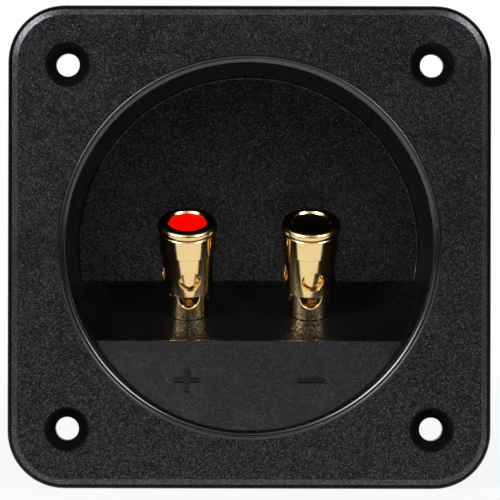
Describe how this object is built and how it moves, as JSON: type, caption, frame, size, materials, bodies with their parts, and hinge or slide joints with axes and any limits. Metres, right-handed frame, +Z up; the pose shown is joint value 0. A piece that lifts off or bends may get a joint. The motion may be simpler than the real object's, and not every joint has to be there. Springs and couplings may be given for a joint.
{
  "type": "spring speaker terminal cup",
  "caption": "Square flanged plastic cup with a round recess and a sloping shelf that carries a red and a black push terminal, for bare speaker wire through a box wall.",
  "frame": {"origin": "centre of the four screw holes in the plane of the flange's rear face", "axes": "-Y out of the front of the cup, +Z up from the terminals' feet to the empty half of the recess, +X to the right of someone facing the front"},
  "size_m": [0.1016, 0.0356, 0.1016],
  "materials": {
    "cup_plastic": "black moulded plastic with a fine spark texture, smooth on the lip",
    "gold_plate": "polished gold plating",
    "red_disc_plastic": "glossy red",
    "black_disc_plastic": "glossy black",
    "spring_steel": "drawn steel",
    "nickel_plate": "satin nickel plating",
    "tinned_brass": "tinned sheet"
  },
  "bodies": {
    "cup_body": {"cup": "cup_plastic", "red_post": "gold_plate", "red_spring": "spring_steel", "red_flat_washer": "nickel_plate", "red_clamp_nut": "nickel_plate", "red_solder_lug": "tinned_brass", "red_lock_washer": "nickel_plate", "red_lug_nut": "nickel_plate", "black_post": "gold_plate", "black_spring": "spring_steel", "black_flat_washer": "nickel_plate", "black_clamp_nut": "nickel_plate", "black_solder_lug": "tinned_brass", "black_lock_washer": "nickel_plate", "black_lug_nut": "nickel_plate"},
    "red_button": {"red_cap": "gold_plate", "red_disc": "red_disc_plastic", "red_guide_pin": "spring_steel"},
    "black_button": {"black_cap": "gold_plate", "black_disc": "black_disc_plastic", "black_guide_pin": "spring_steel"}
  },
  "joints": [
    {"name": "red_press", "type": "slide", "parent": "cup_body", "child": "red_button", "axis": [0, 0.5, -0.866], "range_m": [0, 0.0049], "stiffness_N_per_m": 800, "springref_m": -0.004, "deforming": ["red_spring"]},
    {"name": "black_press", "type": "slide", "parent": "cup_body", "child": "black_button", "axis": [0, 0.5, -0.866], "range_m": [0, 0.0049], "stiffness_N_per_m": 800, "springref_m": -0.004, "deforming": ["black_spring"]}
  ]
}
